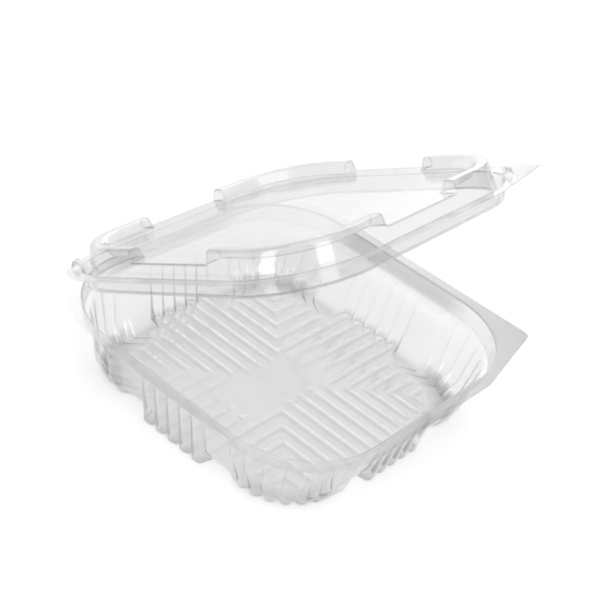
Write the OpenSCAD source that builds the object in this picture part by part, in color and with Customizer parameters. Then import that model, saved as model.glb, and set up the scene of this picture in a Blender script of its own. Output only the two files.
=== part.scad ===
// Clear hinged food pack, thermoformed from one sheet: a square fluted tray with a herringbone
// floor, and a lid with a plug rim and four stacking ridges, joined along a living hinge.
// Millimetres. Origin: centre of the floor's underside. +Z up, hinge on +Y, opening side on -Y.

/* [Sheet] */
// Thickness of the plastic sheet
sheet = 0.5; // [0.4:0.05:0.7]

/* [Rim] */
// Side of the square opening inside the rim
opening = 168; // [144:2:196]
// Corner radius of the opening
corner_radius = 44; // [36:1:52]
// Width of the flange round the opening
flange_width = 6; // [5:0.5:8]
// Height of the flange above the table
tray_height = 41; // [34:1:60]
// Depth of the snap rim that takes the lid's plug
rim_depth = 9; // [6:0.5:12]
// Inward draft of the snap rim over its depth
rim_draft = 1.5; // [1:0.25:2]
// Width of the ledge under the snap rim
ledge_width = 4; // [3:0.5:5]
// Fall of the ledge towards the wall
ledge_fall = 1.5; // [0.5:0.5:2.5]
// Setback of the lifting tab's tip from the front edge
tab_setback = 11; // [8:1:14]

/* [Walls] */
// Distance between neighbouring flutes and between neighbouring floor ribs
pitch = 8; // [6.6:0.2:9.4]
// Depth of one flute under the ledge and at a corner's knee
flute_depth = 2; // [1:0.25:2.5]
// Depth of one of the middle flutes at its foot
flute_foot = 4; // [2:0.25:5]
// Depth of one of the corner flutes at its foot
corner_foot = 2.6; // [1:0.2:3.2]
// Inward lean of a plain panel between ledge and chamfer
wall_lean = 5; // [4:0.5:6]
// Height of the chamfer at the foot of a panel
chamfer_height = 8.5; // [7:0.5:10]
// Width of the chamfer at the foot of a panel
chamfer_width = 7; // [5.5:0.5:8]
// Distance that the middle flutes' feet stand out past the chamfer
foot_reach = 4; // [3:0.5:6]
// Width of the sloping side between middle flutes and panel
flute_side = 1.2; // [0.8:0.2:2]

/* [Floor] */
// Width of one floor rib
rib_width = 4; // [3:0.5:4.5]
// Height of one floor rib
rib_height = 1.2; // [0.8:0.1:1.6]
// Width of a rib's sloping flank
rib_flank = 1; // [0.6:0.1:1.4]
// Width of the plain border round the ribbed square
rib_border = 7.5; // [6:0.5:14]
// Corner radius of the ribbed square
rib_field_radius = 20; // [14:1:26]
// Length of the bare panel in the middle, along X
blank_length = 74; // [60:2:88]
// Width of the bare panel in the middle, along Y
blank_width = 32; // [26:1:44]
// Length of the small stop past the end of a cut rib
stop_length = 3; // [2:0.25:4]

/* [Lid] */
// Free depth between the plug's bottom and the ledge
plug_clear = 1; // [0.6:0.1:2]
// Side clearance between plug and snap rim
plug_gap = 0.7; // [0.6:0.1:1]
// Width of the plug's flat bottom
plug_width = 2.7; // [2:0.1:3.5]
// Inward lean of the lid's wall, from plug bottom to panel
lid_wall_lean = 1.6; // [1:0.2:2.4]
// Height of the lid's panel above its flange
lid_rise = 4.6; // [3:0.2:7]
// Height of the stacking ridges above the panel
ridge_height = 5.8; // [3:0.2:8]
// Width of a stacking ridge at the panel
ridge_width = 8.6; // [7:0.2:10]
// Width of a stacking ridge along its top
ridge_top = 5; // [3:0.5:6]
// Gap between two ridge ends on one side
ridge_gap = 48; // [36:2:60]
// Slope of a ridge's end, measured along the ridge
ridge_end = 1; // [0.5:0.25:2]

/* [Corner lugs] */
// Height of the lid's corner lugs above its flange
lug_height = 4; // [2.5:0.25:5]
// Width of a lug across the flange
lug_width = 4.2; // [3.6:0.1:4.6]
// Length of a lug along the corner
lug_length = 9; // [8:0.5:12]
// Width of a lug's sloping flanks
lug_flank = 1.2; // [0.8:0.1:1.5]

/* [Hinge] */
// Distance of the hinge line from the flange's edge
hinge_reach = 3; // [2.5:0.25:5]
// Radius of the bead along the hinge line
bead_radius = 0.9; // [0.7:0.1:1]
// Free space between the lid and the tray at the hinge and flange
hinge_gap = 0.3; // [0.3:0.05:0.5]
// Opening angle of the lid as it stands, in degrees
open_angle = 30; // [5:5:90]

/* [Hidden] */
rim_half = opening / 2;
flange_half = rim_half + flange_width;
arc_centre = rim_half - corner_radius;
hinge_y = flange_half + hinge_reach;
hinge_z = tray_height + hinge_gap / 2;

// Steps along half a wall, from its middle to the corner's diagonal
quarter_turn = 90;
half_turn = quarter_turn / 2;
flute_steps = 4;
wall_flutes = 5;
corner_flutes = 7;
panel_steps = 3;
group_end = wall_flutes * flute_steps / 2;
panel_end = group_end + panel_steps;
arc_start = panel_end + flute_steps / 2;
wall_steps = panel_end + corner_flutes * flute_steps / 2;
group_half = wall_flutes * pitch / 2;
// Share of a flute's depth at its crest, quarter points and valley, and of its full depth at its top
flute_shares = [1, 0.8, 0, 0.8];
flute_top_share = 0.5;

// Half-widths and heights of the tray's plain panels, from the flange to the floor
rim_foot_half = rim_half - rim_draft;
wall_top_half = rim_foot_half - ledge_width;
chamfer_half = wall_top_half - wall_lean;
floor_half = chamfer_half - chamfer_width;
wall_top_z = tray_height - rim_depth - ledge_fall;
field_half = floor_half - rib_border;
field_arc = field_half - rib_field_radius;
field_diagonal = field_arc + rib_field_radius * cos(half_turn);

// Ribs on each side of a wall's middle, and the steps that they and the wall need
long_ribs = (wall_flutes - 1) / 2;
rib_steps = 4;
rib_count = floor((field_diagonal - rib_width / 2 - rib_flank) / pitch);
floor_steps = rib_steps * rib_count + rib_steps - 1;
half_steps = max(wall_steps, floor_steps);
row_shares = [0.2, 0.4, 0.6, 0.8];

// Half-widths of the lid, from the plug to the panel
lid_steps = 10;
lid_arc_start = 3;
lug_start = lid_steps - 2;
plug_depth = rim_depth - plug_clear;
plug_top_half = rim_half - plug_gap;
plug_foot_half = plug_top_half - rim_draft * plug_depth / rim_depth;
plug_inner_half = plug_foot_half - plug_width;
panel_half = plug_inner_half - lid_wall_lean;
ridge_lean = (ridge_width - ridge_top) / 3;
lug_half = plug_top_half + lug_width;
lug_turn = lug_length / 2 / (plug_top_half - arc_centre) * 180 / PI;
lug_top_turn = lug_turn - lug_flank / (plug_top_half - arc_centre) * 180 / PI;

function lerp(a, b, t) = a + (b - a) * t;
function unit(v) = v / norm(v);
// A point turned by s quarter turns about Z
function quarter(p, s) =
    s == 0 ? p : s == 1 ? [-p.y, p.x, p.z] : s == 2 ? [-p.x, -p.y, p.z] : [p.y, -p.x, p.z];
// Wall and signed step of station m on a ring with so many steps in half a wall
function wall_of(m, steps) = floor(m / (2 * steps));
function step_of(m, steps) = m % (2 * steps) - steps;

// A point at half-width w on the rounded square: u along the wall, then angle a round the corner
function on_path(w, u, a, side) =
    a > 0 ? [arc_centre + (w - arc_centre) * cos(a), side * (arc_centre + (w - arc_centre) * sin(a))]
          : [w, side * u];

// Half-width of the flange's edge: the lifting tab fills the corner between +X and -Y
function flange_edge(s, side, a, hinge_half) =
    let(
        r = flange_half - arc_centre,
        b = s == 0 && side < 0 ? a : s == 3 && side > 0 ? quarter_turn - a : 0
    )
    s == 1 && a == 0 ? hinge_half
    : b > 0 && b < quarter_turn ? arc_centre + min(r / cos(b), r / (sin(b) + tab_setback / r * cos(b)))
    : flange_half;

// The next point on a ring that differs from point m, in direction d
function ahead(r, m, d) = let(k = (m + d + len(r)) % len(r)) r[k] != r[m] ? r[k] : ahead(r, k, d);
// Normals of a grid of rings, on the side that faces up and inwards
function ring_normal(g, j, m) =
    let(
        across = g[min(j + 1, len(g) - 1)][m] - g[max(j - 1, 0)][m],
        along = ahead(g[j], m, 1) - ahead(g[j], m, -1)
    )
    unit(cross(along, across));
// The same grid moved out by the sheet's thickness, straight up from ring flat_from on
function skin(g, flat_from) = [
    for (j = [0:len(g) - 1]) [
        for (m = [0:len(g[0]) - 1])
            g[j][m] + sheet * (j >= flat_from ? [0, 0, 1] : ring_normal(g, j, m))
    ]
];
function distinct(p, f) = p[f[0]] != p[f[1]] && p[f[1]] != p[f[2]] && p[f[2]] != p[f[0]];
// Two triangles for each cell of a grid of rings whose points start at index o
function grid_faces(rings, n, o, flip) = [
    for (j = [0:rings - 2], m = [0:n - 1])
        let(
            a = o + j * n + m, b = o + j * n + (m + 1) % n,
            c = o + (j + 1) * n + m, d = o + (j + 1) * n + (m + 1) % n
        )
        each flip ? [[a, b, d], [a, d, c]] : [[a, d, b], [a, c, d]]
];
function edge_faces(n, o) = [
    for (m = [0:n - 1]) each [[m, o + m, (m + 1) % n], [(m + 1) % n, o + m, o + (m + 1) % n]]
];
function flatten(g) = [for (r = g) each r];

// A closed sheet between a grid of rings and its skin; a middle is closed by one flat face
module sheet_solid(lower, flat_from, capped) {
    upper = skin(lower, flat_from);
    rings = len(lower);
    n = len(lower[0]);
    o = rings * n;
    points = flatten(concat(lower, upper));
    faces = concat(grid_faces(rings, n, 0, true), grid_faces(rings, n, o, false), edge_faces(n, o));
    last = [for (m = [0:n - 1]) o - n + m];
    caps = capped ? [last, [for (m = [n - 1:-1:0]) o + last[m]]] : [];
    polyhedron(points, concat([for (f = faces) if (distinct(points, f)) f], caps));
}

// Stations of the tray's wall
function tray_along(i) =
    i <= group_end ? i * pitch / flute_steps
    : i == group_end + 1 ? group_half + flute_side
    : i <= panel_end
      ? lerp(group_half + flute_side, arc_centre - pitch / 2, (i - group_end - 1) / (panel_steps - 1))
    : min(arc_centre, arc_centre - pitch / 2 + (i - panel_end) * pitch / flute_steps);
function tray_turn(i) = max(0, i - arc_start) * half_turn / (wall_steps - arc_start);
function flute(i) =
    i <= group_end ? flute_shares[i % flute_steps]
    : i < panel_end ? 0 : flute_shares[(i - arc_start + flute_steps) % flute_steps];

// The tray's wall, as half-width and height at each level of one station
function tray_profile(i, edge) =
    let(
        middle = i <= group_end,
        top = wall_top_half + flute_depth * flute(i) * flute_top_share,
        foot = floor_half + (middle ? foot_reach + flute_foot * flute(i) : corner_foot * flute(i)),
        knee = middle ? lerp(foot, top, chamfer_height / wall_top_z) : chamfer_half + flute_depth * flute(i)
    ) [
        [edge, tray_height - sheet], [rim_half, tray_height - sheet],
        [rim_foot_half, wall_top_z + ledge_fall], [top, wall_top_z],
        [knee, chamfer_height], [foot, 0]
    ];
function tray_wall(m) =
    let(
        s = wall_of(m, half_steps), k = step_of(m, half_steps), i = min(abs(k), wall_steps), side = sign(k),
        a = tray_turn(i), edge = flange_edge(s, side, a, hinge_y)
    )
    [for (q = tray_profile(i, edge)) let(p = on_path(q[0], tray_along(i), a, side)) quarter([p.x, p.y, q[1]], s)];

// Stations of the floor: rib number, place across the wall, and whether it is on a rib's top
function rib_of(i) = i < rib_steps - 1 ? 0 : floor((i + 1) / rib_steps);
function rib_place(i) =
    let(f = (i + 1) % rib_steps)
    i == 0 ? 0 : rib_of(i) * pitch
        + [-rib_width / 2, rib_flank - rib_width / 2, rib_width / 2 - rib_flank, rib_width / 2][f];
function on_rib(i) = i < floor_steps && ((i + 1) % rib_steps == 1 || (i + 1) % rib_steps == 2) ? 1 : 0;
function field_edge(t) =
    t <= field_arc ? field_half : field_arc + sqrt(pow(rib_field_radius, 2) - pow(t - field_arc, 2));

// Rows of one floor station, from the field's edge to the diagonal where two wall's ribs mitre
function floor_rows(i, blank_half) =
    let(
        t = i == floor_steps ? field_diagonal : rib_place(i),
        out = i == floor_steps ? t : rib_of(i) <= long_ribs ? floor_half + foot_reach - rib_flank : field_edge(t),
        high = on_rib(i) * rib_height,
        cut = rib_of(i) < long_ribs,
        start = min(out, t + rib_flank),
        full = max(start, out - 2 * rib_flank)
    ) [
        [out, t, 0], [full, t, high],
        each cut ? [
            [blank_half + 2 * rib_flank, t, high], [blank_half, t, 0],
            [blank_half - stop_length / 2, t, high], [blank_half - stop_length, t, 0], [t, t, 0]
        ] : [for (q = row_shares) [lerp(full, t, q), t, high], [t, t, high]]
    ];
function tray_floor(m) =
    let(
        s = wall_of(m, half_steps), k = step_of(m, half_steps), i = min(abs(k), floor_steps),
        blank_half = (s % 2 == 0 ? blank_length : blank_width) / 2
    )
    [for (p = floor_rows(i, blank_half)) quarter([p.x, k < 0 ? -p.y : p.y, p.z], s)];

module base_tray() {
    stations = 8 * half_steps;
    columns = [for (m = [0:stations - 1]) concat(tray_wall(m), tray_floor(m))];
    wall_rings = len(tray_profile(0, flange_half));
    color("gainsboro") {
        sheet_solid([for (j = [0:len(columns[0]) - 1]) [for (c = columns) c[j]]], wall_rings, false);
        translate([-arc_centre, hinge_y, hinge_z])
            rotate([0, 90, 0]) cylinder(h = 2 * arc_centre, r = bead_radius, $fn = 24);
    }
}

// Stations of the lid: a wall's middle, the two ends of a ridge's slope, the corner's arc and its lug
function lid_along(i) = [0, ridge_gap / 2, ridge_gap / 2 + ridge_end, arc_centre][min(i, lid_arc_start)];
function lid_turn(i) =
    i > lug_start ? half_turn - (i < lid_steps ? lug_top_turn : 0)
    : max(0, i - lid_arc_start) * (half_turn - lug_turn) / (lug_start - lid_arc_start);
// The lid's section, as half-width and height above the flange's underside
function lid_profile(i, edge, lugged) =
    let(
        ridge_z = lid_rise + (i >= lid_arc_start - 1 ? ridge_height : 0),
        lug_z = lugged && i > lug_start ? lug_height : 0
    ) [
        [edge, 0], [lug_half, 0], [lug_half - lug_flank, lug_z], [plug_top_half + lug_flank, lug_z],
        [plug_top_half, 0], [plug_foot_half, -plug_depth], [plug_inner_half, -plug_depth],
        [panel_half, lid_rise], [panel_half - ridge_lean, ridge_z],
        [panel_half - ridge_lean - ridge_top, ridge_z], [panel_half - ridge_width, lid_rise],
        [panel_half - ridge_width - ridge_top, lid_rise]
    ];
// One station of the lid; the lugs stand at the tab's corner and the corner opposite
function lid_station(m) =
    let(
        s = wall_of(m, lid_steps), k = step_of(m, lid_steps), i = abs(k), side = sign(k),
        a = lid_turn(i), edge = flange_edge(s, side, a, hinge_y - bead_radius - hinge_gap),
        lugged = side == (s % 2 == 0 ? -1 : 1)
    ) [
        for (q = lid_profile(i, edge, lugged))
            let(p = on_path(q[0], lid_along(i), a, side)) quarter([p.x, p.y, q[1]], s)
    ];

module lid() {
    columns = [for (m = [0:8 * lid_steps - 1]) lid_station(m)];
    rings = len(columns[0]);
    color("whitesmoke")
        translate([0, hinge_y, hinge_z]) rotate([-open_angle, 0, 0]) translate([0, -hinge_y, hinge_gap / 2])
            sheet_solid([for (j = [0:rings - 1]) [for (c = columns) c[j]]], rings - 1, true);
}

base_tray();
lid();
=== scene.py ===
import math

import bpy
import numpy as np
from mathutils import Matrix


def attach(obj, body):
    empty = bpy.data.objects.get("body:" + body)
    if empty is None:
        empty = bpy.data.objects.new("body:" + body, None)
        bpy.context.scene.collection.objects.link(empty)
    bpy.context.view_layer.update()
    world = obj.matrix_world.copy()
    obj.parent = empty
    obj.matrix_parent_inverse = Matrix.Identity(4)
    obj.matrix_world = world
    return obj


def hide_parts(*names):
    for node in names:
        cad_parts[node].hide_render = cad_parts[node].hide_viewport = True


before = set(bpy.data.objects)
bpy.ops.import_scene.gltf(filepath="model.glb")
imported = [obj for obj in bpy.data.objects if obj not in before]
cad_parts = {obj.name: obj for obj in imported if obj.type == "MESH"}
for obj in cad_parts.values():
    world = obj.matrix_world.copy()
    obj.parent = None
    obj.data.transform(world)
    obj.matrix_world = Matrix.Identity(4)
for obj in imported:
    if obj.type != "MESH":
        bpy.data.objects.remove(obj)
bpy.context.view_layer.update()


# Tray. One square of clear sheet, softened by heat and drawn into a mould: a flat flange with a
# lifting tab, an upright snap rim, a narrow ledge, fluted walls over a chamfered foot, and a floor
# stiffened by ribs that run in from all four walls and mitre along the diagonals. Sizes in mm.
sheet = 0.4
arc_centre = 40.0
rim_half, flange_half, hinge_half = 84.0, 90.0, 93.0
flange_top, rim_foot_z, ledge_z, knee_z = 41.0, 32.0, 30.5, 8.5
rim_foot_half, ledge_half, knee_half, floor_half = 82.5, 78.5, 73.5, 66.5
tab_setback = 11.0
pitch, flute_depth, flute_foot, flute_side = 8.0, 2.0, 4.0, 1.2
corner_foot, foot_reach, foot_flat = 3.4, 4.0, 0.9
rib_width, rib_height, rib_flank, rib_ramp = 4.0, 0.5, 1.5, 2.0
rib_border, field_half, field_radius, field_corner = 1.6, 59.0, 20.0, 53.14
# Ribs on each side of a wall's middle one: those of its comb of flutes, and all.
comb_ribs, all_ribs = 2, 6
blank_halves = (37.0, 16.0)
stop_length = 3.0
# Power and root of the scallops of the comb and of the corners.
comb_scallop, corner_scallop = (2.6, 0.5), (2.0, 0.8)
# Stations of half a wall, counted from its middle, four to a rib: the ends of its comb and of its plain
# panel, the start of the corner's arc, and the diagonal. The steps between them are cut again, finely.
rib_stations, comb_end, comb_ease, panel_end, arc_start, diagonal = 4, 10.5, 0.5, 13, 15, 27
fine = 4
# Points of a piece that agree to this many decimals are merged.
merge_decimals = 5


def smooth(x):
    """A soft step from 0 to 1 as x goes from 0 to 1: 3x^2 - 2x^3, flat outside."""
    x = np.clip(x, 0, 1)
    return x * x * (3 - 2 * x)


def scallop(x, power, root):
    """One flute in a row, x counted in flutes: 1 on its crest at whole numbers, 0 in the valley between,
    as 1 less a power of the distance from the crest, and then a root of that for a fuller crest."""
    return (1 - np.abs(2 * (x - np.round(x))) ** power) ** root


class Round:
    """Stations all the way round a rounded square. Half a wall, given as the distance along it and the
    angle round its corner, is mirrored and then turned by quarter turns to the four walls."""

    def __init__(self, along, turn):
        last = len(along) - 1
        step = np.tile(np.arange(-last, last), 4)
        self.wall = np.repeat(np.arange(4), 2 * last)
        self.step, self.side = np.abs(step), np.where(step < 0, -1.0, 1.0)
        self.along, self.turn = along[self.step], turn[self.step]
        self.cos, self.sin = np.array([1, 0, -1, 0])[self.wall], np.array([0, 1, 0, -1])[self.wall]

    def turned(self, x, y, z):
        """Points of the +X wall turned to each station's own wall, the y of mirrored halves reversed."""
        y = y * self.side
        return np.stack([x * self.cos - y * self.sin, x * self.sin + y * self.cos, z], -1)

    def placed(self, half, height):
        """Points at a half-width: on the wall's straight, or on the corner's arc about its centre."""
        reach = half - arc_centre
        x = arc_centre + np.where(self.turn > 0, reach * np.cos(self.turn), reach)
        y = np.where(self.turn > 0, arc_centre + reach * np.sin(self.turn), self.along)
        return self.turned(x, y, height)

    def edge(self, hinge_edge, power=45):
        """Half-width of the flange's cut edge. At the corner between +X and -Y it follows two straight
        lines to the tab's tip, eased into each other by a high power mean."""
        r = flange_half - arc_centre
        near = ((self.wall == 0) & (self.side < 0), (self.wall == 3) & (self.side > 0))
        b = np.select(near, (self.turn, np.pi / 2 - self.turn), 0.0)
        ahead, aside = np.cos(b) / r, (np.sin(b) + tab_setback / r * np.cos(b)) / r
        tip = arc_centre + (ahead ** power + aside ** power) ** (-1 / power)
        plain = np.where((self.wall == 1) & (self.turn == 0), hinge_edge, flange_half)
        return np.where((self.turn > 0) & (near[0] | near[1]), tip, plain)


def rounded(corners, radii, cuts, arc=3, longest=0.45, edge_share=0.05):
    """Rows of a profile with rounded corners. Each inner corner becomes a quadratic curve that leaves its
    two sides one radius away, never more than the longest share of a side, and each straight run is cut
    evenly. One more row close to the cut edge keeps the shading of the flat beside it flat."""
    start, rows = corners[0], []
    for k in range(1, len(corners)):
        corner, inner = corners[k], k + 1 < len(corners)
        stop = after = corner
        if inner:
            sides = corners[k - 1] - corner, corners[k + 1] - corner
            lengths = [np.maximum(np.linalg.norm(v, axis=-1, keepdims=True), 1e-9) for v in sides]
            shares = [np.minimum(radii[k - 1] / n, longest) for n in lengths]
            stop, after = (corner + v * s for v, s in zip(sides, shares))
        rows += [start + (stop - start) * t for t in np.arange(cuts[k - 1]) / cuts[k - 1]]
        if inner:
            bend = np.arange(arc) / arc
            rows += [(1 - t) ** 2 * stop + 2 * t * (1 - t) * corner + t * t * after for t in bend]
        start = after
    rows.insert(1, rows[0] + (rows[1] - rows[0]) * edge_share)
    return np.stack(rows + [corners[-1]])


def sharpness(before, after):
    """Angle between the steps into and out of each point, per mm of sheet; 0 where a step has no length."""
    lengths = np.linalg.norm(before, axis=-1), np.linalg.norm(after, axis=-1)
    cosine = np.sum(before * after, axis=-1) / np.maximum(lengths[0] * lengths[1], 1e-9)
    angle = np.where(np.minimum(*lengths) > 1e-3, np.arccos(np.clip(cosine, -1, 1)), 0)
    return angle / np.maximum((lengths[0] + lengths[1]) / 2, 0.1)


def creases(under, along_share, least=0.5):
    """Where the sheet is folded sharply, from 0 to 1: its bend across the rows, eased in over one radian
    per mm from the least that shows, or a share of its bend along them, whichever is more."""
    padded = np.concatenate([under[:1], under, under[-1:]])
    across = sharpness(padded[1:-1] - padded[:-2], padded[2:] - padded[1:-1])
    along = sharpness(under - np.roll(under, 1, axis=1), np.roll(under, -1, axis=1) - under)
    return np.maximum(smooth(across - least), along_share * smooth(along - least))


def grid_faces(index):
    """Two triangles for each cell of a grid of point numbers whose rows close on themselves, without the
    triangles that merged points leave empty."""
    following = np.roll(index, -1, axis=1)
    cells = np.stack([index[:-1], following[:-1], following[1:], index[1:]], -1).reshape(-1, 4)
    faces = np.concatenate([cells[:, (0, 1, 2)], cells[:, (0, 2, 3)]])
    return faces[np.all(faces != np.roll(faces, 1, axis=1), axis=1)]


def mesh_piece(name, points, faces):
    """A new object in the scene, from points in metres and faces."""
    mesh = bpy.data.meshes.new(name)
    mesh.from_pydata(points, [], faces)
    piece = bpy.data.objects.new(name, mesh)
    bpy.context.scene.collection.objects.link(piece)
    return piece


def sheet_piece(name, under, flat_rows, painted_shade, place=lambda p: p):
    """A closed sheet from the rows of its underside, cut edge first, with the painted shade of each point.
    The upper skin is the underside moved by the thickness along its normals, straight up on the last rows.
    The two skins meet round the cut edge, points that fall together are merged, and so the middle and the
    mitres close."""
    across = np.gradient(under, axis=0)
    along = np.roll(under, -1, axis=1) - np.roll(under, 1, axis=1)
    normal = np.cross(along, across)
    normal /= np.maximum(np.linalg.norm(normal, axis=-1, keepdims=True), 1e-12)
    normal[-flat_rows:] = (0, 0, 1)
    grid = np.concatenate([under[::-1], under + sheet * normal])
    all_points = np.round(grid.reshape(-1, 3), merge_decimals)
    points, first, index = np.unique(all_points, axis=0, return_index=True, return_inverse=True)
    faces = grid_faces(index.reshape(grid.shape[:2]))
    corners = points[faces]
    volume = np.sum(corners[:, 0] * np.cross(corners[:, 1], corners[:, 2]))
    faces = faces if volume > 0 else faces[:, ::-1]
    piece = mesh_piece(name, place(points) / 1000, faces)
    piece.data.shade_smooth()
    painted_shades = np.concatenate([painted_shade[::-1], painted_shade]).reshape(-1)[first].astype(np.float32)
    piece.data.attributes.new("painted_shade", "FLOAT", "POINT").data.foreach_set("value", painted_shades)
    return piece


def rib_places():
    """Places across a wall of its floor stations, from the middle to the diagonal. With them, the stations
    and places along the wall, which follow the ribs as far as the comb of flutes goes, so that each
    flute's foot holds the end of its own rib."""
    i = np.arange(diagonal + 1)
    foot, crest = rib_width / 2, rib_width / 4
    within = np.array([-foot, -crest, crest, foot])[(i + 1) % rib_stations]
    places = np.floor((i + 1) / rib_stations) * pitch + within
    places[0], places[-1] = 0, field_corner
    comb = int(comb_end) + 1
    comb_half = (comb_ribs + 0.5) * pitch
    along = [comb_half, comb_half + flute_side, arc_centre - pitch / 2, arc_centre]
    at = np.concatenate([i[:comb], [comb_end, comb, panel_end, arc_start]])
    return places, at, np.concatenate([places[:comb], along])


def tray_rows():
    """The tray's underside: wall rows on the rounded square, then floor rows in each wall's own sector."""
    step = np.arange(diagonal * fine + 1) / fine
    places, at, along = rib_places()
    turn = np.maximum(step - arc_start, 0) * 45 / (diagonal - arc_start)
    ring = Round(np.interp(step, at, along), np.radians(turn))
    i = step[ring.step]
    middle = smooth((comb_end + comb_ease / 2 - i) / comb_ease)
    corner = np.where(i < panel_end, 0, scallop((i - arc_start) / rib_stations, *corner_scallop))
    flute = np.where(i <= comb_end, scallop(ring.along / pitch, *comb_scallop), corner)
    top = ledge_half + flute_depth * flute / 2
    foot = floor_half + middle * (foot_reach + flute_foot * flute) + (1 - middle) * corner_foot * flute
    straight_knee = foot + (top - foot) * knee_z / ledge_z
    knee = middle * straight_knee + (1 - middle) * (knee_half + flute_depth * flute)
    under = flange_top - sheet
    profile = [(ring.edge(hinge_half), under), (rim_half, under), (rim_foot_half, rim_foot_z),
               (top, ledge_z), (knee, knee_z), (foot, 0), (foot - foot_flat, 0)]
    corners = [np.stack(np.broadcast_arrays(w, z, i)[:2], -1) for w, z in profile]
    radii, cuts = (0.8, 0.7, 1.0, 2.0, 0.8), (2, 2, 2, 5, 3, 1)
    rows = rounded(corners, radii, cuts)
    wall = ring.placed(rows[..., 0], rows[..., 1])
    across = np.interp(i, np.arange(diagonal + 1), places)
    return np.concatenate([wall, floor_rows(ring, across, foot - rib_border)])


def floor_rows(ring, t, reach):
    """Floor rows of each station from the ribs' outer ends to the diagonal. Height depends on the place t
    across the ribs, which have straight flanks, so that the ribs of two walls mitre; the middle three ribs
    of a wall stop short of a bare panel, each with a small stop past its end."""
    rib = np.round(t / pitch)
    flank = np.clip((rib_width / 2 - np.abs(t - rib * pitch)) / rib_flank, 0, 1)
    high = rib_height * flank * (rib <= all_ribs)
    bend = np.maximum(t - (field_half - field_radius), 0)
    out = field_half - field_radius + np.sqrt(field_radius ** 2 - bend ** 2)
    out = np.where(t <= (comb_ribs + 0.5) * pitch, reach, np.maximum(out, t))
    full = np.maximum(out - rib_ramp, t)
    blank = np.array(blank_halves)[ring.wall % 2]
    end, stop = blank + rib_ramp, blank - stop_length
    share = np.linspace(0, 1, 4)[:, None]
    ramp = out + (full - out) * share
    cut = np.concatenate([ramp, full + (end - full) * np.array([[0.5]]), end + (blank - end) * share,
                          blank + (stop - blank) * np.linspace(0.2, 1, 5)[:, None],
                          stop + (t - stop) * np.array([[0.5], [1.0]])])
    plain = np.concatenate([ramp, full + (t - full) * np.linspace(0, 1, 13)[1:, None]])
    w = np.where(rib < comb_ribs, cut, plain)
    dot = np.sin(np.pi * np.clip((blank - w) / stop_length, 0, 1))
    inner_end = np.where(rib < comb_ribs, np.maximum(smooth((w - blank) / rib_ramp), dot), 1)
    return ring.turned(w, t + 0 * w, high * smooth((out - w) / rib_ramp) * inner_end)


class Wire:
    """A socket of a node tree. Arithmetic on it adds Math nodes, and node() adds any other node."""

    def __init__(self, tree, socket=None):
        self.tree, self.socket = tree, socket

    def node(self, kind, settings, inputs, output=0):
        """A new node with its settings, its inputs linked or set to values, as a wire from one output."""
        made = self.tree.nodes.new(kind)
        for name, value in settings.items():
            setattr(made, name, value)
        for name, value in inputs.items():
            if isinstance(value, Wire):
                self.tree.links.new(value.socket, made.inputs[name])
            else:
                made.inputs[name].default_value = value
        return Wire(self.tree, made.outputs[output] if len(made.outputs) else None)

    def maths(self, operation, first, second):
        return self.node("ShaderNodeMath", {"operation": operation}, {0: first, 1: second})

    def __add__(self, other):
        return self.maths("ADD", self, other)

    def __sub__(self, other):
        return self.maths("SUBTRACT", self, other)

    def __rsub__(self, other):
        return self.maths("SUBTRACT", other, self)

    def __mul__(self, other):
        return self.maths("MULTIPLY", self, other)

    def __pow__(self, other):
        return self.maths("POWER", self, other)

    __radd__, __rmul__ = __add__, __mul__


def emptied_tree(owner):
    """A wire in the node tree of a material or a world, with the nodes that it came with taken out."""
    owner.use_nodes = True
    owner.node_tree.nodes.clear()
    return Wire(owner.node_tree)


def clear_sheet_finish():
    """Clear glossy sheet. Light passes with a faint, neutral loss; where the sheet carries painted shade or
    is seen edge-on it turns greyer, and edge-on it is shinier too. Slow waves from the forming and fine
    handling marks move its reflections."""
    finish = bpy.data.materials.new("clear_sheet")
    w = emptied_tree(finish)
    place = w.node("ShaderNodeTexCoord", {}, {}, "Object")
    waves = w.node("ShaderNodeTexNoise", {}, {"Vector": place, "Scale": 60.0, "Detail": 1.0})
    marks = w.node("ShaderNodeTexNoise", {}, {
        "Vector": place, "Scale": 260.0, "Detail": 3.0, "Roughness": 0.7})
    relief = w.node("ShaderNodeBump", {}, {
        "Strength": 0.3, "Distance": 0.001, "Height": waves + marks * 0.08})
    facing = w.node("ShaderNodeLayerWeight", {}, {"Blend": 0.5, "Normal": relief}, "Facing")
    body = w.node("ShaderNodeBsdfPrincipled", {}, {
        "Base Color": (0.2, 0.202, 0.205, 1), "Roughness": 0.08 + marks * 0.12,
        "IOR": 1.55, "Normal": relief})
    through = w.node("ShaderNodeBsdfTransparent", {}, {"Color": (0.965, 0.966, 0.967, 1)})
    # Painted shade carried per point by the sheet turns the film greyer, together with edge-on haze and
    # handling marks.
    painted_shade = w.node("ShaderNodeAttribute", {"attribute_name": "painted_shade"}, {}, "Fac")
    haze_and_painted_shade = marks * 0.02 + (facing ** 9.0) * 0.85 + painted_shade * 0.4
    film = w.node("ShaderNodeMixShader", {}, {0: haze_and_painted_shade, 1: through, 2: body})
    gloss = w.node("ShaderNodeBsdfGlossy", {}, {"Color": (1, 1, 1, 1), "Roughness": 0.1, "Normal": relief})
    mixed = w.node("ShaderNodeMixShader", {}, {0: 0.045 + (facing ** 5.0) * 0.9, 1: film, 2: gloss})
    w.node("ShaderNodeOutputMaterial", {}, {"Surface": mixed})
    return finish


# Rows of the tray's floor, and rows of the flat flange of tray and lid.
floor_row_count, flange_rows = 16, 4
# Painted shade of the tray's creases, rim and tab, painted shadow on its floor and corner feet, and the
# heights and distances in mm over which they come and go.
crease_share, low_crease_shade, low_z = 0.12, 0.4, 4.0
floor_painted_shadow, rim_painted_shade, tab_painted_shade, foot_painted_shadow = 0.29, 0.55, 0.95, 0.65
rim_shade_z, rim_ease, foot_ease, corner_from, corner_ease, corner_loss = 31.0, 2.0, 2.0, 30.0, 20.0, 0.8


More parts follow.
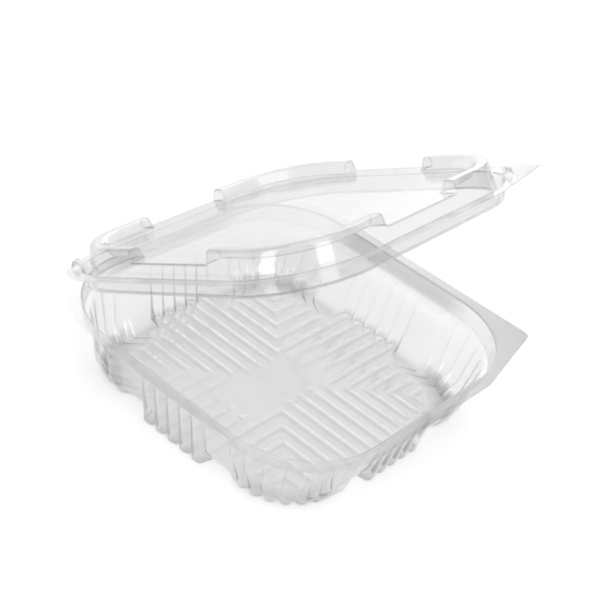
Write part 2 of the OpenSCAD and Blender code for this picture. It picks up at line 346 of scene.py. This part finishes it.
def tab_share(under):
    """How near a point of the flange is to the tab: 0 on the far half, rising evenly towards 1 at the
    tab's tip."""
    return np.clip((under[..., 0] - under[..., 1]) / (2 * flange_half), 0, 1)


def tray_painted_shade(under):
    """Painted shade of the tray, the most of five: its creases darker, less so near the floor; a painted
    shadow over the floor; painted shade on the rim, less at the corners, and on the tab, rising towards its
    tip; and a painted shadow at the foot of the corners. Floor, rim and foot are eased in by height."""
    row, z = np.arange(len(under))[:, None], under[..., 2]
    floor_start = len(under) - floor_row_count
    # Painted shade: the creases darker, less so near the floor.
    folded = creases(under, crease_share) * (row < floor_start - 1) * np.where(z < low_z, low_crease_shade, 1)
    corner = smooth((np.min(np.abs(under[..., :2]), axis=-1) - corner_from) / corner_ease)
    # Painted shadow on the lowest few mm of the sheet, strongest at the floor.
    low = floor_painted_shadow * smooth((low_z - z) / low_z)
    # Painted shade on the rim above its foot, less at the corners.
    rim = rim_painted_shade * smooth((z - rim_shade_z) / rim_ease) * (1 - corner_loss * corner) * (row >= flange_rows)
    # Painted shade on the flange, darker towards the tab's tip.
    tab = tab_painted_shade * tab_share(under) * (row < flange_rows)
    # Painted shadow at the foot of the corners.
    foot = foot_painted_shadow * corner * smooth((low_z - z) / foot_ease) * (row < floor_start)
    return np.max([folded, low, rim, tab, foot], axis=0)


clear_sheet = clear_sheet_finish()
tray_under = tray_rows()
tray = sheet_piece("tray_sheet", tray_under, floor_row_count + 2, tray_painted_shade(tray_under))
tray.data.materials.append(clear_sheet)
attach(tray, "tray")
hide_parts("base_tray")


# Hinge bead. The fold between tray and lid is pressed thin and rolls up into a slim round bead along the
# back flange when the lid is bent over; it is the same sheet as the tray.
bead_radius, hinge_gap, bead_sides = 0.9, 0.3, 20
bead_z = flange_top + hinge_gap / 2


def bead_piece():
    """A slim bar along X with domed ends: a circle carried along the fold, its radius eased to nothing
    over one radius at each end."""
    dome = np.array([0, 0.003, 0.01, 0.022])
    run = np.concatenate([dome - 1, np.linspace(-0.96, 0.96, 33), 1 - dome[::-1]])
    x = run[:, None] * arc_centre
    inset = np.maximum(1 - (arc_centre - np.abs(x)) / bead_radius, 0)
    r = bead_radius * np.sqrt(np.clip(1 - inset ** 2, 0, 1))
    turn = np.arange(bead_sides) / bead_sides * 2 * np.pi
    y, z = hinge_half + r * np.cos(turn), bead_z + r * np.sin(turn)
    grid = np.stack(np.broadcast_arrays(x, y, z), -1)
    all_points = np.round(grid.reshape(-1, 3), merge_decimals)
    points, index = np.unique(all_points, axis=0, return_inverse=True)
    faces = grid_faces(index.reshape(grid.shape[:2]))[:, ::-1]
    piece = mesh_piece("hinge_bead", points / 1000, faces)
    piece.data.shade_smooth()
    return piece


bead = bead_piece()
bead.data.materials.append(clear_sheet)
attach(bead, "tray")


# Lid. The other half of the same sheet: a flange with its own tab, a plug that presses into the tray's
# snap rim, a wall that rises to a flat panel, and a stacking ridge with square ends round each corner.
# A small lug stands on the flange at two opposite corners. The fold holds it open at 30 degrees.
plug_top_half, plug_foot_half, plug_inner_half, panel_half = 83.3, 81.97, 79.27, 77.67
plug_depth, panel_z, ridge_height, ridge_width, ridge_top, ridge_lean = 8.0, 4.6, 5.8, 8.6, 5.0, 1.2
ridge_start, ridge_end = 24.0, 1.2
lug_height, lug_width, lug_half_turn, lug_ease, lug_flank = 4.0, 4.2, 5.95, 2.2, 1.2
open_angle = math.radians(30)
panel_rings = (0.8, 0.55, 0.3, 0.0)
# Painted shade of the lid: how dark its creases are, their share along the rows, and how dark the flange is
# at its tab.
lid_crease_shade, lid_crease_share, lid_tab_painted_shade = 0.8, 0.6, 0.9


def lid_rows():
    """The lid's underside, lying flat: one profile round the rounded square, its ridge and lug rows lifted
    only where they stand, then rings of the panel drawn in to its middle. Stations lie close at the
    ridge's ends and at the lugs."""
    straight = [np.linspace(0, 21, 5), np.linspace(22.5, 27, 16), np.linspace(29, arc_centre, 5)]
    corner_turns = np.concatenate([np.linspace(0, 36, 13)[1:], np.linspace(37, 45, 11)])
    along = np.concatenate(straight + [np.full(len(corner_turns), arc_centre)])
    turn = np.concatenate([np.zeros(len(along) - len(corner_turns)), corner_turns])
    ring = Round(along, np.radians(turn))
    ridge_z = panel_z + ridge_height * smooth((ring.along - ridge_start) / ridge_end)
    lugged = np.where(ring.wall % 2 == 0, ring.side < 0, ring.side > 0)
    off_lug = np.abs(np.degrees(ring.turn) - 45)
    lug_z = lug_height * lugged * smooth((lug_half_turn - off_lug) / lug_ease)
    lug_half = plug_top_half + lug_width
    profile = [(ring.edge(hinge_half - bead_radius - hinge_gap), 0), (lug_half, 0),
               (lug_half - lug_flank, lug_z), (plug_top_half + lug_flank, lug_z), (plug_top_half, 0),
               (plug_foot_half, -plug_depth), (plug_inner_half, -plug_depth), (panel_half, panel_z),
               (panel_half - ridge_lean, ridge_z), (panel_half - ridge_lean - ridge_top, ridge_z),
               (panel_half - ridge_width, panel_z), (panel_half - ridge_width - ridge_top, panel_z)]
    corners = [np.stack(np.broadcast_arrays(w, z, ring.turn)[:2], -1) for w, z in profile]
    radii, cuts = (0.5, 1.0, 1.0, 0.6, 0.8, 0.8, 0.9, 1.2, 1.2, 0.8), (2, 1, 1, 1, 3, 1, 4, 3, 2, 3, 1)
    rows = rounded(corners, radii, cuts)
    wall = ring.placed(rows[..., 0], rows[..., 1])
    middle = wall[-1] * [1, 1, 0]
    share = np.array(panel_rings)[:, None, None]
    return np.concatenate([wall, middle * share + [0, 0, panel_z]])


def lid_painted_shade(under):
    """Painted shade of the lid: its creases darker, and the flange darker close to its tab."""
    painted_shade = lid_crease_shade * creases(under, lid_crease_share)
    tab = lid_tab_painted_shade * smooth(2 * tab_share(under[:flange_rows]) - 1)
    painted_shade[:flange_rows] = np.maximum(painted_shade[:flange_rows], tab)
    return painted_shade


def opened(points):
    """Lid points turned up about the fold, from lying flat on the tray to standing open."""
    y, z = points[:, 1] - hinge_half, points[:, 2] + hinge_gap / 2
    c, s = math.cos(open_angle), math.sin(open_angle)
    return np.stack([points[:, 0], hinge_half + y * c + z * s, bead_z - y * s + z * c], -1)


lid_under = lid_rows()
lid = sheet_piece("lid_sheet", lid_under, len(panel_rings) + 1, lid_painted_shade(lid_under), opened)
lid.data.materials.append(clear_sheet)
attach(lid, "lid")
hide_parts("lid")


# Floor. A wide plain white table top on which the pack stands; it takes the pack's soft shadow. It lies a
# hair below the pack's own floor. Sizes in metres.
floor_z, floor_sides = -0.0002, 96
floor_radii = np.array([0.15, 0.3, 0.6, 1.2, 2.4, 5.0])
floor_lift = 0.36


def floor_piece():
    """A disc of rings about the pack, closed at its middle."""
    turn = np.arange(floor_sides) / floor_sides * 2 * np.pi
    r = floor_radii[:, None]
    rings = np.stack(np.broadcast_arrays(r * np.cos(turn), r * np.sin(turn), floor_z), -1).reshape(-1, 3)
    points = np.concatenate([[[0, 0, floor_z]], rings])
    index = 1 + np.arange(len(rings)).reshape(-1, floor_sides)
    middle = np.stack([np.zeros(floor_sides, int), index[0], np.roll(index[0], -1)], -1)
    return mesh_piece("floor", points, np.concatenate([grid_faces(index)[:, ::-1], middle]))


def floor_finish():
    """Matt white, lifted a little to full white where it is seen directly, in gloss or through the sheet."""
    finish = bpy.data.materials.new("white_floor")
    w = emptied_tree(finish)
    seen = w.node("ShaderNodeLightPath", {}, {}, "Is Camera Ray")
    gloss = w.node("ShaderNodeLightPath", {}, {}, "Is Glossy Ray")
    passed = w.node("ShaderNodeLightPath", {}, {}, "Is Transmission Ray")
    matt = w.node("ShaderNodeBsdfDiffuse", {}, {"Color": (0.86, 0.86, 0.86, 1)})
    level = floor_lift * (seen + gloss + passed)
    lift = w.node("ShaderNodeEmission", {}, {"Color": level, "Strength": 1.0})
    both = w.node("ShaderNodeAddShader", {}, {0: matt, 1: lift})
    w.node("ShaderNodeOutputMaterial", {}, {"Surface": both})
    return finish


floor = floor_piece()
floor.data.materials.append(floor_finish())


# Studio. A large soft lamp behind on the right, which the tray's flat floor mirrors, and one overhead; two
# low lamps behind, which light one flank of each rib; and two smaller ones at the left and in front, whose
# streaks show on the lid's ridge. The room is pale, brighter behind and darker at the front right.
def to_rotation(right, up, back):
    """Euler angles of an object whose own X, Y and Z point right, up and back."""
    return Matrix(np.stack([right, up, back], -1).tolist()).to_euler()


def lamp(name, place, aim, width, depth, power):
    """A rectangular lamp at a place in metres, facing the point it is aimed at, its width almost level."""
    data = bpy.data.lights.new(name, "AREA")
    data.shape, data.size, data.size_y, data.energy = "RECTANGLE", width, depth, power
    made = bpy.data.objects.new(name, data)
    made.location = place
    away = np.array(place, float) - aim
    away /= np.linalg.norm(away)
    side = np.cross((0, 0.05, 1), away)
    side /= np.linalg.norm(side)
    made.rotation_euler = to_rotation(side, np.cross(away, side), away)
    bpy.context.scene.collection.objects.link(made)


lamp("rear_lamp", (1.2, 0.78, 1.1), (0, 0, 0.03), 1.4, 1.4, 7.0)
lamp("top_lamp", (-0.35, -0.35, 1.25), (0, 0, 0.03), 1.2, 1.2, 6.0)
lamp("low_lamp", (1.05, 0.56, 0.17), (0, 0, 0.01), 0.45, 0.26, 0.7)
lamp("back_lamp", (0.77, 0.88, 0.27), (0, 0, 0.01), 0.4, 0.28, 0.3)
lamp("left_lamp", (-1.2, -0.05, 0.36), (0, 0, 0.09), 0.32, 0.7, 2.25)
lamp("front_lamp", (-0.32, -1.05, 0.68), (-0.07, 0, 0.09), 0.45, 0.6, 2.6)

room_level, rear_gain, right_loss = 0.36, 0.4, 0.25
world = bpy.data.worlds.new("studio")
bpy.context.scene.world = world
w = emptied_tree(world)
toward = w.node("ShaderNodeTexCoord", {}, {}, "Generated")


def glow(direction, edge, core):
    """How far a direction lies inside a round patch of the room: 0 at its edge, 1 at its core, both given
    as the cosine of the angle to the patch's middle."""
    near = w.node("ShaderNodeVectorMath", {"operation": "DOT_PRODUCT"}, {0: toward, 1: direction}, "Value")
    return w.node("ShaderNodeMapRange", {"interpolation_type": "SMOOTHSTEP"}, {
        "Value": near, 1: edge, 2: core})


room = room_level + rear_gain * glow((0.82, 0.57, 0.05), 0.6, 1.0)
room = room - right_loss * glow((0.80, -0.54, 0.27), 0.8, 0.95)
sky = w.node("ShaderNodeBackground", {}, {"Color": (1, 1, 1, 1), "Strength": room})
w.node("ShaderNodeOutputWorld", {}, {"Surface": sky})


# Camera. A long lens, looking down over the front left corner and rolled a little to the right. Its place
# is in metres and its lens and film are in mm.
azimuth, elevation, roll = np.radians((-55.22, 34.71, -12.86))
level_share = math.cos(elevation)
ahead = np.array((-math.sin(azimuth) * level_share, math.cos(azimuth) * level_share, -math.sin(elevation)))
level = np.cross(ahead, (0, 0, 1))
level /= np.linalg.norm(level)
right = math.cos(roll) * level + math.sin(roll) * np.cross(ahead, level)
camera_data = bpy.data.cameras.new("camera")
camera_data.lens, camera_data.sensor_width = 78.0, 36.0
camera = bpy.data.objects.new("camera", camera_data)
camera.location = (-0.4156, -0.2901, 0.4019)
camera.rotation_euler = to_rotation(right, np.cross(right, ahead), -ahead)
bpy.context.scene.collection.objects.link(camera)
bpy.context.scene.camera = camera

bpy.context.scene.view_settings.view_transform = "Standard"
bpy.context.scene.cycles.transparent_max_bounces = 48
